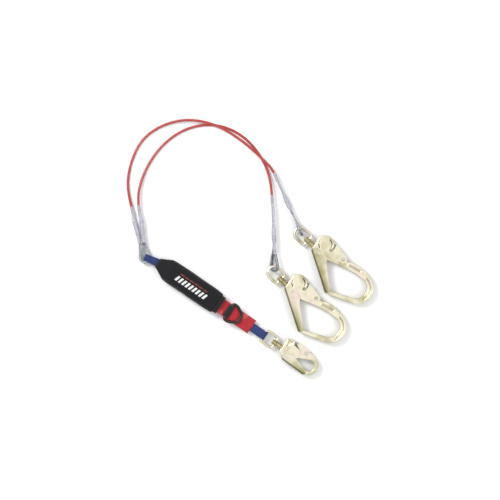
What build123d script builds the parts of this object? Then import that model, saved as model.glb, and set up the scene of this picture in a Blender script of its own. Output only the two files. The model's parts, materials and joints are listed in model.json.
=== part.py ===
from build123d import *
import os
from math import acos, atan2, cos, degrees, pi, radians, sin, sqrt, tan

# Shock absorbing lanyard, laid flat on z = 0, two cable legs and three hooks.
# Millimetres, +Z up. The origin is under the middle of the webbing and hooks.

os.makedirs("parts", exist_ok=True)

# ---------------------------------------------------------------- driving sizes
PACK_START = (-273.9, 103.3)      # neck of the cover, where the leg webbing comes out
PACK_HEADING = -34.4              # degrees, cover and straps run this way
LEG_FOLD = (-310.9, 119.8)        # fold of the leg webbing inside the thimbles
COVER_LENGTH = 196.0
COVER_WIDTH = 62.0
COVER_THICK = 38.0
NECK_WIDTH = 27.0
NECK_LENGTH = 32.0
COLLAR_END = 208.0
COLLAR_WIDTH = 56.0
STRAP_END = 311.0
STRAP_WIDTH = 43.0
STRAP_THICK = 7.0
BLUE_WIDTH = 25.0
LEG_WEB_WIDTH = 19.0
WEB_THICK = 2.5
FOLD_AT = 350.0                   # the snap hook's bail bar, inside the fold
RING_BAR_AT = 234.0               # straight bar of the D-ring
RING_WIRE = 8.0
RING_WIDTH = 50.0                 # between the wire's centre lines
RING_DEPTH = 37.0

HOOK_Z = 13.8                     # middle plane of every hook
HOOK_HEADING = -45.0
LEFT_BARREL = (71.6, 48.6)
RIGHT_BARREL = (145.4, 155.1)
SNAP_BARREL_AT = 401.0            # along the cover's line

BODY_HALF = 8.5                   # half thickness of a forged hook body
LEVER_IN = 8.8                    # lever cheeks, from the middle plane
LEVER_OUT = 10.8
GATE_IN = 11.2                    # gate cheeks, from the middle plane
GATE_OUT = 13.2
HEAD_OUT = 13.5                   # top of the rivet heads

BAIL_WIRE = 8.0
BAIL_WIDTH = 35.0                 # between the side bars' centre lines
BAIL_END = -57.0                  # end bar's centre line, from the barrel's middle
BAIL_BRIDGE = -13.0               # cross bar that the swivel stud passes through
STUD_RADIUS = 4.0
BARREL_RADIUS = 7.5
FIT = 0.05                        # running clearance on a radius

CABLE_RADIUS = 3.5
ROPE_RADIUS = 2.5
ROPE_GAP = 5.2                    # main rope to tail, centre to centre
EYE_HOLE = 10.5                   # radius of the thimble's hole
THIMBLE_WALL = 1.0
THIMBLE_OUT = 15.5
THIMBLE_HALF = 3.5
EYE_APEX = 44.0                   # where the two ropes meet, from the eye's centre
FERRULE_RADIUS = 5.4
SLEEVE_RADIUS = 6.0

LEG_EYE_A = (-309.9, 118.3, 6.7)      # lower thimble on the leg webbing
LEG_EYE_B = (-310.9, 118.8, 14.2)     # upper thimble
LEFT_EYE = (44.6, 94.0, 14.5)
RIGHT_EYE = (114.7, 192.1, 16.8)
LEFT_ROLL = -50.0                     # thimbles turned about the cable's own line
RIGHT_ROLL = 88.0

# Cable legs: the points of each route, from the cover's end to the hook's end.
ROUTE_A = [
    (-342.9, 238.3, 6.7), (-353.9, 278.3, 6.7), (-359.4, 327.3, 4.2), (-349.9, 380.3, 3.7),
    (-321.9, 441.3, 3.7), (-270.9, 479.3, 4.0), (-212.9, 496.3, 9.0), (-158.9, 494.3, 13.6),
    (-106.9, 478.3, 13.6), (-56.9, 448.3, 9.5), (-12.9, 412.3, 13.6), (19.1, 381.3, 13.6),
    (39.3, 360.3, 16.8), (52.3, 331.3, 16.8),
]
ROUTE_B = [
    (-325.9, 241.8, 14.2), (-330.9, 282.8, 14.2), (-322.9, 324.3, 7.5), (-303.9, 371.3, 3.8),
    (-270.9, 419.3, 3.7), (-226.9, 457.3, 3.7), (-176.9, 479.3, 3.7), (-122.9, 484.3, 3.7),
    (-73.9, 471.3, 3.7), (-30.9, 443.3, 3.7), (2.1, 404.3, 3.7), (25.1, 363.3, 4.6),
    (37.23, 309.0, 14.5), (38.6, 269.0, 14.5),
]


# ---------------------------------------------------------------- frames and helpers
def level(x, y, z, heading):
    """A level plane at a point, its X along the heading."""
    turn = radians(heading)
    return Plane((x, y, z), x_dir=(cos(turn), sin(turn), 0), z_dir=(0, 0, 1))


def side(at):
    """The upright plane along a frame's X, its own Y pointing up."""
    return Plane(at.origin, x_dir=at.x_dir, z_dir=-at.y_dir)


def save(part, name):
    part.label = name
    export_step(part, "parts/" + name + ".step")


def strap(at, points, radii, width, thick):
    """Webbing: a path in the upright plane, given thickness and width."""
    with BuildPart() as web:
        with BuildSketch(side(at)):
            with BuildLine():
                FilletPolyline(*points, radius=radii)
            trace(line_width=thick)
        extrude(amount=width / 2, both=True)
    return web.part


def rivet(at, x, y, name, shank, head, inner, outer):
    """A headed pin through a hook, its heads outside the cheeks."""
    with BuildPart() as pin:
        with BuildSketch(at.offset(-inner)):
            with Locations((x, y)):
                Circle(shank)
        extrude(amount=2 * inner)
        for low in (-outer, inner):
            with BuildSketch(at.offset(low)):
                with Locations((x, y)):
                    Circle(head)
            extrude(amount=outer - inner)
        rims = pin.edges().filter_by(GeomType.CIRCLE).filter_by(lambda e: abs(e.radius - head) < 0.01)
        ends = [e for e in rims if abs(abs((e.center() - at.origin).Z) - outer) < 0.01]
        chamfer(ends, length=(outer - inner) * 0.45)
    save(pin.part, name)


def coil(at, x, y, name, radius, wire, half, leg):
    """A torsion spring: touching turns round a pin, and two straight legs."""
    turns = int(2 * half / (1.8 * wire)) + 1
    pitch = 2 * (half - wire) / (turns - 1)
    with BuildPart() as spring:
        with BuildSketch(side(at)):
            for turn in range(turns):
                with Locations((x + radius, -half + wire + turn * pitch)):
                    Circle(wire)
        revolve(axis=Axis(at.origin + at.x_dir * x, at.z_dir))
        tail = at.origin + at.x_dir * (x - wire) - at.y_dir * radius
        with BuildSketch(Plane(tail, x_dir=at.y_dir, z_dir=at.x_dir)):
            with Locations((0.1, half - wire)):
                Circle(wire * 0.8)
        extrude(amount=leg)
    spring.part.position += at.y_dir * y
    save(spring.part, name)


def stack(at, x, low, high, name, radius, wire):
    """A compression spring standing between a body's back edge and its lever."""
    turns = int((high - low) / (1.8 * wire)) + 1
    pitch = (high - low - 2 * wire) / (turns - 1)
    with BuildPart() as spring:
        with BuildSketch(at):
            for turn in range(turns):
                with Locations((x + radius, low + wire + turn * pitch)):
                    Circle(wire)
        revolve(axis=Axis(at.origin + at.x_dir * x, at.y_dir))
    save(spring.part, name)


# ---------------------------------------------------------------- energy absorber
pack = level(PACK_START[0], PACK_START[1], 0, PACK_HEADING)
leg_heading = degrees(atan2(PACK_START[1] - LEG_FOLD[1], PACK_START[0] - LEG_FOLD[0]))
leg_reach = sqrt((PACK_START[0] - LEG_FOLD[0]) ** 2 + (PACK_START[1] - LEG_FOLD[1]) ** 2)
leg_web = level(PACK_START[0], PACK_START[1], 0, leg_heading)

STRAP_TOP_IN = 22.0               # strap's top where it enters the collar
STRAP_TOP_OUT = 17.3              # strap's top at its far end
CAVITY_START = 36.0
CAVITY_END = 188.0
COVER_WALL = 4.0
COVER_ROUNDING = 9.0
NECK_LOW = 6.5                    # underside of the cover at its neck
NECK_HIGH = 28.0                  # top of the cover at its neck
NECK_FLOOR = 10.5                 # passage for the leg webbing through the neck
NECK_ROOM = 14.0
COLLAR_GAP = 0.3
WEB_LAYER = 4.0                   # one fold of the tear web
FOLD_SLIT = 0.6                   # gap between folds at the pack's ends


def strap_top(s):
    share = (s - COLLAR_END) / (STRAP_END - COLLAR_END)
    return STRAP_TOP_IN + (STRAP_TOP_OUT - STRAP_TOP_IN) * share


with BuildPart() as pack_cover:
    with BuildSketch(pack):
        with BuildLine():
            Polyline(
                (0, -NECK_WIDTH / 2), (NECK_LENGTH, -COVER_WIDTH / 2), (COVER_LENGTH, -COVER_WIDTH / 2),
                (COVER_LENGTH, COVER_WIDTH / 2), (NECK_LENGTH, COVER_WIDTH / 2), (0, NECK_WIDTH / 2),
                close=True,
            )
        make_face()
    extrude(amount=COVER_THICK)
    with BuildSketch(side(pack)):
        with BuildLine():
            Polyline(
                (0, NECK_LOW), (NECK_LENGTH, 0), (COVER_LENGTH, 0), (COVER_LENGTH, COVER_THICK),
                (NECK_LENGTH, COVER_THICK), (0, NECK_HIGH), close=True,
            )
        make_face()
    extrude(amount=COVER_WIDTH, both=True, mode=Mode.INTERSECT)
    long_edges = pack_cover.edges().filter_by(lambda e: e.length > COVER_LENGTH - NECK_LENGTH - 1)
    fillet(long_edges, radius=COVER_ROUNDING)
    with BuildSketch(pack.offset(COVER_WALL)):
        with Locations(((CAVITY_START + CAVITY_END) / 2, 0)):
            Rectangle(CAVITY_END - CAVITY_START, COVER_WIDTH - 2 * COVER_WALL)
    extrude(amount=COVER_THICK - 2 * COVER_WALL, mode=Mode.SUBTRACT)
    with BuildSketch(pack.offset(NECK_FLOOR)):
        with Locations((CAVITY_START / 2, 0)):
            Rectangle(CAVITY_START + 1, LEG_WEB_WIDTH + 4.6)
    extrude(amount=NECK_ROOM, mode=Mode.SUBTRACT)
    with BuildSketch(pack.offset(STRAP_TOP_IN - STRAP_THICK - 0.3)):
        with Locations(((CAVITY_END + COVER_LENGTH) / 2, 0)):
            Rectangle(COVER_LENGTH - CAVITY_END + 2, STRAP_WIDTH + 0.8)
    extrude(amount=STRAP_THICK + 0.9, mode=Mode.SUBTRACT)
save(pack_cover.part, "pack_cover")

with BuildPart() as tear_web_pack:
    with BuildSketch(pack.offset(COVER_WALL + 1)):
        with Locations(((CAVITY_START + CAVITY_END) / 2, 0)):
            Rectangle(CAVITY_END - CAVITY_START - 2, STRAP_WIDTH + 8)
    extrude(amount=COVER_THICK - 2 * COVER_WALL - 2)
    fold_levels = [COVER_WALL + 1 + WEB_LAYER * (n + 1) for n in range(6)]
    for height in fold_levels:
        for end in (CAVITY_START + 8, CAVITY_END - 8):
            with BuildSketch(pack.offset(height - FOLD_SLIT / 2)):
                with Locations((end, 0)):
                    Rectangle(10, STRAP_WIDTH + 10)
            extrude(amount=FOLD_SLIT, mode=Mode.SUBTRACT)
    with BuildSketch(pack.offset(13)):
        with Locations((CAVITY_START - 10, 0)):
            Rectangle(22, LEG_WEB_WIDTH)
    extrude(amount=8)
save(tear_web_pack.part, "tear_web_pack")

with BuildPart() as cover_collar:
    collar_start = pack.origin + pack.x_dir * (COVER_LENGTH + COLLAR_GAP)
    with BuildSketch(Plane(collar_start, x_dir=pack.y_dir, z_dir=pack.x_dir)):
        with Locations((0, COVER_THICK / 2)):
            RectangleRounded(COLLAR_WIDTH, COVER_THICK - 2 * COVER_WALL, 8)
        with Locations((0, STRAP_TOP_IN - STRAP_THICK / 2 + 0.3)):
            Rectangle(STRAP_WIDTH + 0.8, STRAP_THICK + 1.0, mode=Mode.SUBTRACT)
    extrude(amount=COLLAR_END - COVER_LENGTH - COLLAR_GAP)
save(cover_collar.part, "cover_collar")

with BuildPart() as red_strap:
    with BuildSketch(side(pack)):
        with BuildLine():
            Polyline(
                (CAVITY_END, STRAP_TOP_IN - STRAP_THICK), (COLLAR_END + 4, STRAP_TOP_IN - STRAP_THICK),
                (STRAP_END, STRAP_TOP_OUT - STRAP_THICK), (STRAP_END, STRAP_TOP_OUT),
                (COLLAR_END + 4, STRAP_TOP_IN), (CAVITY_END, STRAP_TOP_IN), close=True,
            )
        make_face()
    extrude(amount=STRAP_WIDTH / 2, both=True)
save(red_strap.part, "red_strap")

LOW_WEB = 1.6                     # lower layer of the leg webbing
HIGH_WEB = 19.4                   # upper layer, over both thimbles
leg_web_loop = strap(
    leg_web,
    [
        (10, 19.6), (-8, HIGH_WEB), (-leg_reach, HIGH_WEB), (-leg_reach, LOW_WEB), (-20, LOW_WEB),
        (-4, 14), (10, 14.6),
    ],
    [40, 4.5, 4.5, 10, 10],
    LEG_WEB_WIDTH,
    WEB_THICK,
)
save(leg_web_loop, "leg_web_loop")

FOLD_RADIUS = 6.6                 # middle of the webbing, round the bail's bar
LAYER_GAP = 2.7
hook_web_loop = strap(
    pack,
    [
        (STRAP_END + 0.1, HOOK_Z + LAYER_GAP / 2), (FOLD_AT - 22, HOOK_Z + LAYER_GAP / 2 + 0.1),
        (FOLD_AT - 2, HOOK_Z + FOLD_RADIUS), (FOLD_AT + FOLD_RADIUS, HOOK_Z + FOLD_RADIUS),
        (FOLD_AT + FOLD_RADIUS, HOOK_Z - FOLD_RADIUS), (FOLD_AT - 2, HOOK_Z - FOLD_RADIUS),
        (FOLD_AT - 22, HOOK_Z - LAYER_GAP / 2 - 0.1), (STRAP_END + 0.1, HOOK_Z - LAYER_GAP / 2),
    ],
    [20, 8, 6.2, 6.2, 8, 20],
    BLUE_WIDTH,
    WEB_THICK,
)
save(hook_web_loop, "hook_web_loop")

RING_Z = strap_top(RING_BAR_AT) + RING_WIRE / 2 + 0.6
with BuildPart() as d_ring:
    ring_frame = pack.offset(RING_Z)
    with BuildLine(ring_frame):
        ring_path = FilletPolyline(
            (RING_BAR_AT, -5), (RING_BAR_AT, RING_WIDTH / 2), (RING_BAR_AT + 14, RING_WIDTH / 2),
            (RING_BAR_AT + RING_DEPTH, 13), (RING_BAR_AT + RING_DEPTH, -13),
            (RING_BAR_AT + 14, -RING_WIDTH / 2), (RING_BAR_AT, -RING_WIDTH / 2), (RING_BAR_AT, -5.5),
            radius=[6, 16, 14, 14, 16, 6], close=False,
        )
    with BuildSketch(Plane(ring_path @ 0, z_dir=ring_path % 0)):
        Circle(RING_WIRE / 2)
    sweep()
    with BuildSketch(Plane(ring_path @ 0, z_dir=-(ring_path % 0))):
        Circle(RING_WIRE / 2)
    extrude(amount=0.5)
save(d_ring.part, "d_ring")

KEEPER_RADIUS = RING_WIRE / 2 + 0.4 + WEB_THICK / 2
KEEPER_REACH = 9.0                # each foot's end, from the bar
KEEPER_FOOT = strap_top(RING_BAR_AT) + WEB_THICK / 2 + 1.0
d_ring_keeper = strap(
    pack,
    [
        (RING_BAR_AT - KEEPER_REACH, KEEPER_FOOT), (RING_BAR_AT - KEEPER_RADIUS, KEEPER_FOOT),
        (RING_BAR_AT - KEEPER_RADIUS, RING_Z + KEEPER_RADIUS),
        (RING_BAR_AT + KEEPER_RADIUS, RING_Z + KEEPER_RADIUS),
        (RING_BAR_AT + KEEPER_RADIUS, KEEPER_FOOT), (RING_BAR_AT + KEEPER_REACH, KEEPER_FOOT),
    ],
    [1.4, KEEPER_RADIUS - 0.1, KEEPER_RADIUS - 0.1, 1.4],
    STRAP_WIDTH - 7,
    WEB_THICK,
)
save(d_ring_keeper, "d_ring_keeper")


# ---------------------------------------------------------------- cable ends
def tangent_point(radius, apex, half_gap):
    """Where a line from the apex touches a circle round the eye's centre."""
    reach = sqrt(apex ** 2 + half_gap ** 2)
    angle = atan2(half_gap, apex) + acos(radius / reach)
    return radius * cos(angle), radius * sin(angle), degrees(angle)


def teardrop(radius, apex, half_gap, stop):
    """Round end and two straight legs, the legs cut at x = stop."""
    x, y, angle = tangent_point(radius, apex, half_gap)
    share = (stop - x) / (apex - x)
    tip = y + (half_gap - y) * share
    Line((stop, tip), (x, y))
    CenterArc((0, 0), radius, angle, 360 - 2 * angle)
    Line((x, -y), (stop, -tip))


def cable_end(name, eye, mouth, roll, tail_side, ferrule_at, ferrule_long):
    """Thimble, rope eye, ferrule and clear sleeve in a frame that looks from eye to mouth."""
    run = Vector(mouth[0] - eye[0], mouth[1] - eye[1], mouth[2] - eye[2])
    flat = Vector(-run.Y, run.X, 0).normalized()
    lateral = flat.rotate(Axis((0, 0, 0), run), roll)
    at = Plane(eye, x_dir=run, z_dir=run.cross(lateral))
    reach = run.length
    half = ROPE_GAP / 2
    shift = -half * tail_side
    rope_ring = EYE_HOLE + THIMBLE_WALL + ROPE_RADIUS + 0.05
    x, y, angle = tangent_point(rope_ring, EYE_APEX, half)
    tail_end = ferrule_at + ferrule_long + 6
    with BuildPart() as rope:
        with BuildLine(at):
            rope_path = FilletPolyline(
                (reach, 0), (EYE_APEX + 22, 0), (EYE_APEX + 4, half * tail_side), (x, y * tail_side),
                radius=[60, 30],
            )
            CenterArc((0, 0), rope_ring, angle * tail_side, (360 - 2 * angle) * tail_side)
            FilletPolyline(
                (x, -y * tail_side), (EYE_APEX + 4, -half * tail_side),
                (EYE_APEX + 22, -2 * half * tail_side), (tail_end, -2 * half * tail_side),
                radius=[30, 60],
            )
        with BuildSketch(Plane(rope_path @ 0, z_dir=rope_path % 0)):
            Circle(ROPE_RADIUS)
        sweep()
    save(rope.part, name + "_eye_rope")

    with BuildPart() as thimble:
        with BuildSketch(at.offset(-THIMBLE_HALF)):
            with BuildLine():
                teardrop(EYE_HOLE + THIMBLE_WALL / 2, EYE_APEX, 0.8, EYE_APEX - 10)
            trace(line_width=THIMBLE_WALL)
        extrude(amount=2 * THIMBLE_HALF)
        flange = THIMBLE_OUT - EYE_HOLE
        for low in (-THIMBLE_HALF, ROPE_RADIUS + 0.1):
            with BuildSketch(at.offset(low)):
                with BuildLine():
                    teardrop(EYE_HOLE + flange / 2, EYE_APEX, 2.2, EYE_APEX - 12)
                trace(line_width=flange)
            extrude(amount=THIMBLE_HALF - ROPE_RADIUS - 0.1)
        add(rope.part, mode=Mode.SUBTRACT)
    save(thimble.part, name + "_thimble")

    start = Plane(at.origin + at.x_dir * ferrule_at + at.y_dir * shift, x_dir=at.y_dir, z_dir=at.x_dir)
    with BuildPart() as ferrule:
        with BuildSketch(start):
            Circle(FERRULE_RADIUS)
            with Locations((-shift, 0), (shift, 0)):
                Circle(ROPE_RADIUS + 0.03, mode=Mode.SUBTRACT)
        extrude(amount=ferrule_long)
    save(ferrule.part, name + "_ferrule")

    sleeve_start = EYE_APEX + 24
    foot = at.origin + at.x_dir * sleeve_start + at.y_dir * shift
    with BuildPart() as sleeve:
        with BuildSketch(Plane(foot, x_dir=at.y_dir, z_dir=at.x_dir)):
            Circle(SLEEVE_RADIUS)
            Circle(FERRULE_RADIUS + 0.02, mode=Mode.SUBTRACT)
        extrude(amount=reach - sleeve_start)
    save(sleeve.part, name + "_clear_sleeve")


cable_end("pack_a", LEG_EYE_A, ROUTE_A[0], 0, -1, EYE_APEX + 25, 30)
cable_end("pack_b", LEG_EYE_B, ROUTE_B[0], 0, 1, EYE_APEX + 25, 30)
cable_end("left_hook", LEFT_EYE, ROUTE_B[-1], LEFT_ROLL, 1, EYE_APEX + 25, 34)
cable_end("right_hook", RIGHT_EYE, ROUTE_A[-1], RIGHT_ROLL, 1, EYE_APEX + 25, 34)


# ---------------------------------------------------------------- cable legs
def cable(name, route):
    points = [Vector(*point) for point in route]
    radii = []
    for before, here, after in zip(points, points[1:], points[2:]):
        run = min((here - before).length, (after - here).length)
        turn = (here - before).get_angle(after - here)
        radii.append(0.45 * run / tan(radians(turn / 2)))
    with BuildPart() as tube:
        with BuildLine() as line:
            path = FilletPolyline(*points, radius=radii)
        with BuildSketch(Plane(path @ 0, z_dir=path % 0)):
            Circle(CABLE_RADIUS)
        sweep()
    length = line.wires()[0].length
    section = pi * CABLE_RADIUS ** 2
    print(name, "radii", [round(r) for r in radii])
    print(name, "length", round(length, 1), "volume ratio", round(tube.part.volume / section / length, 4))
    save(tube.part, name)


cable("cable_leg_a", ROUTE_A)
cable("cable_leg_b", ROUTE_B)


# ---------------------------------------------------------------- swivels, same on every hook
def swivel(name, at, corner, end):
    half = BAIL_WIDTH / 2
    with BuildPart() as bail:
        with BuildLine(at):
            bail_path = FilletPolyline(
                (BAIL_BRIDGE, 0.5), (BAIL_BRIDGE, half), (end, half), (end, -half),
                (BAIL_BRIDGE, -half), (BAIL_BRIDGE, -0.5),
                radius=[6, corner, corner, 6],
            )
        with BuildSketch(Plane(bail_path @ 0, z_dir=bail_path % 0)):
            Circle(BAIL_WIRE / 2)
        sweep()
        across = Plane(at.origin + at.x_dir * (BAIL_BRIDGE - 5), x_dir=at.y_dir, z_dir=at.x_dir)
        with BuildSketch(across):
            Circle(BARREL_RADIUS)
        extrude(amount=10)
        with BuildSketch(across.offset(-1)):
            Circle(STUD_RADIUS + FIT)
        extrude(amount=12, mode=Mode.SUBTRACT)
    save(bail.part, name + "_swivel_bail")

    barrel_start = BAIL_BRIDGE + 5.2
    ahead = Plane(at.origin + at.x_dir * barrel_start, x_dir=at.y_dir, z_dir=at.x_dir)
    with BuildPart() as barrel:
        with BuildSketch(ahead):
            Circle(BARREL_RADIUS)
            Circle(STUD_RADIUS, mode=Mode.SUBTRACT)
        extrude(amount=20)
        rims = barrel.edges().filter_by(GeomType.CIRCLE)
        chamfer(rims.filter_by(lambda e: abs(e.radius - BARREL_RADIUS) < 0.01), length=1.2)
    save(barrel.part, name + "_swivel_barrel")

    behind = Plane(at.origin + at.x_dir * (BAIL_BRIDGE - 9), x_dir=at.y_dir, z_dir=at.x_dir)
    with BuildPart() as stud:
        with BuildSketch(behind):
            Circle(6.2)
        extrude(amount=3.8)
        with BuildSketch(behind.offset(3.8)):
            Circle(STUD_RADIUS)
        extrude(amount=43)
    save(stud.part, name + "_swivel_stud")


STUD_SEAT = 24.8                  # how far the stud reaches into the hook body


def stud_room(at, start):
    """The room in a body's head for the barrel and the stud."""
    ahead = Plane(at.origin, x_dir=at.y_dir, z_dir=at.x_dir)
    with BuildPart() as room:
        with BuildSketch(ahead.offset(start - 2)):
            Circle(BARREL_RADIUS + 0.3)
        extrude(amount=12.5 - start + 2)
        with BuildSketch(ahead.offset(12)):
            Circle(STUD_RADIUS)
        extrude(amount=STUD_SEAT - 12)
    return room.part


# ---------------------------------------------------------------- rebar hooks
GATE_PIN = (33.0, -1.0)
STOP_PIN = (50.0, 27.0)
LEVER_PIN = (92.0, 32.0)
PIN_RADIUS = 3.0
BOWL = (171.5, 2.5)
BOWL_IN = 29.5
BOWL_OUT = 47.0
DOME = (28.0, 27.0)
DOME_RADIUS = 24.5
DOME_SLOTS = ((22, 72), (196, 62))    # start and length of the two curved slots, degrees
SLOT_DEPTH = 2.0
GROOVE_DEPTH = 1.4                # pressed groove along the bowl


def rebar_hook(name, at):
    swivel(name, at, BAIL_WIDTH / 2 - 0.2, BAIL_END)

    def on_bowl(radius, angle):
        turn = radians(angle)
        return BOWL[0] + radius * cos(turn), BOWL[1] + radius * sin(turn)

    room = stud_room(at, 6)
    with BuildPart() as body:
        with BuildSketch(at.offset(-BODY_HALF)):
            with BuildLine():
                Line((40, -9), (9, -6))
                Line((9, -6), (6, 16))
                ThreePointArc((6, 16), (17, 48.9), (51.6, 33.6))
                Line((51.6, 33.6), (84, 28.5))
                ThreePointArc((84, 28.5), (91, 37.5), (99, 35))
                Spline((99, 35), (120, 46), on_bowl(BOWL_OUT + 5, 108), on_bowl(BOWL_OUT, 70),
                       tangents=[(1, 0.35), (1, -0.38)])
                ThreePointArc(on_bowl(BOWL_OUT, 70), on_bowl(BOWL_OUT, 10), on_bowl(BOWL_OUT - 3, -62))
                Line(on_bowl(BOWL_OUT - 3, -62), (127, -66))
                Line((127, -66), (120, -58.5))
                Line((120, -58.5), on_bowl(BOWL_IN, -62))
                ThreePointArc(on_bowl(BOWL_IN, -62), on_bowl(BOWL_IN, 20), on_bowl(BOWL_IN, 100))
                Spline(on_bowl(BOWL_IN, 100), (127, 24), (72, 3), (40, -9),
                       tangents=[(-1, -0.17), (-1, -0.4)])
            make_face()
        extrude(amount=2 * BODY_HALF)
        add(room, mode=Mode.SUBTRACT)
        with BuildSketch(at.offset(-BODY_HALF - 1)):
            with Locations(GATE_PIN, LEVER_PIN, STOP_PIN):
                Circle(PIN_RADIUS)
        extrude(amount=2 * BODY_HALF + 2, mode=Mode.SUBTRACT)
        with BuildSketch(at.offset(-3.2)):
            with Locations(GATE_PIN):
                Circle(6.6)
            with Locations((GATE_PIN[0] + 4, GATE_PIN[1] - 6)):
                Rectangle(22, 12)
        extrude(amount=6.4, mode=Mode.SUBTRACT)
        for low in (-BODY_HALF, BODY_HALF - GROOVE_DEPTH):
            with BuildSketch(at.offset(low)):
                with BuildLine():
                    CenterArc(BOWL, (BOWL_IN + BOWL_OUT) / 2, -20, 110)
                trace(line_width=5)
                with BuildLine():
                    Line((112, 31), (150, 43))
                trace(line_width=6)
            extrude(amount=GROOVE_DEPTH, mode=Mode.SUBTRACT)
        for low in (-BODY_HALF, BODY_HALF - SLOT_DEPTH):
            with BuildSketch(at.offset(low)):
                for start, sweep_angle in DOME_SLOTS:
                    with BuildLine():
                        CenterArc(DOME, DOME_RADIUS - 6.5, start, sweep_angle)
                    trace(line_width=2.8)
            extrude(amount=SLOT_DEPTH, mode=Mode.SUBTRACT)
    save(body.part, name + "_hook_body")

    with BuildPart() as gate:
        for low in (-GATE_OUT, GATE_IN):
            with BuildSketch(at.offset(low)):
                with BuildLine():
                    FilletPolyline(
                        (7, -9), (28, -19.5), (122, -68), (131, -57), (68, -9), (60, 1), (48, 7), (33, 9.5),
                        (14, 1), radius=[8, 3, 4, 8, 8, 12, 10, 5, 4], close=True,
                    )
                make_face()
                with Locations(GATE_PIN):
                    Circle(PIN_RADIUS + FIT, mode=Mode.SUBTRACT)
            extrude(amount=GATE_OUT - GATE_IN)
        with BuildSketch(at.offset(-GATE_OUT)):
            with BuildLine():
                Polyline(
                    (12, -11.6), (28, -19.5), (110, -61.9), (110.95, -60.1), (28.9, -17.7),
                    (12.9, -9.8), close=True,
                )
            make_face()
        extrude(amount=2 * GATE_OUT)
    save(gate.part, name + "_gate")

    with BuildPart() as lever:
        for low in (-LEVER_OUT, LEVER_IN):
            with BuildSketch(at.offset(low)):
                with BuildLine():
                    Line((50, 49), (97, 41.5))
                    ThreePointArc((97, 41.5), (102, 33), (98, 24))
                    Line((98, 24), (69, 17))
                    Line((69, 17), (60, 24))
                    Line((60, 24), (55.3, 31))
                    ThreePointArc((55.3, 31), (54, 36), (50, 49))
                make_face()
                with Locations(LEVER_PIN):
                    Circle(PIN_RADIUS + FIT, mode=Mode.SUBTRACT)
            extrude(amount=LEVER_OUT - LEVER_IN)
        with BuildSketch(at.offset(-LEVER_OUT)):
            with BuildLine():
                Polyline((53, 48.5), (96, 41.7), (95.7, 39.7), (52.7, 46.5), close=True)
            make_face()
        extrude(amount=2 * LEVER_OUT)
    save(lever.part, name + "_lock_lever")

    rivet(at, *GATE_PIN, name + "_gate_rivet", PIN_RADIUS, 5.0, GATE_OUT + 0.1, HEAD_OUT)
    rivet(at, *LEVER_PIN, name + "_lever_rivet", PIN_RADIUS, 5.0, LEVER_OUT + 0.1, HEAD_OUT)
    rivet(at, *STOP_PIN, name + "_stop_rivet", PIN_RADIUS, 4.2, BODY_HALF, HEAD_OUT)
    coil(at, *GATE_PIN, name + "_gate_spring", 4.6, 0.85, 3.0, 12)
    stack(at, 79, 30.1, 39.0, name + "_lever_spring", 3.6, 0.85)


# ---------------------------------------------------------------- snap hook
SNAP_GATE_PIN = (36.0, -14.0)
SNAP_LEVER_PIN = (74.0, 25.0)
SNAP_BOWL = (98.0, 1.0)
SNAP_BOWL_RADIUS = 15.0
SNAP_BOWL_SWEEP = (-107, 222.4)   # start and length of the bowl's arc, degrees


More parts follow.
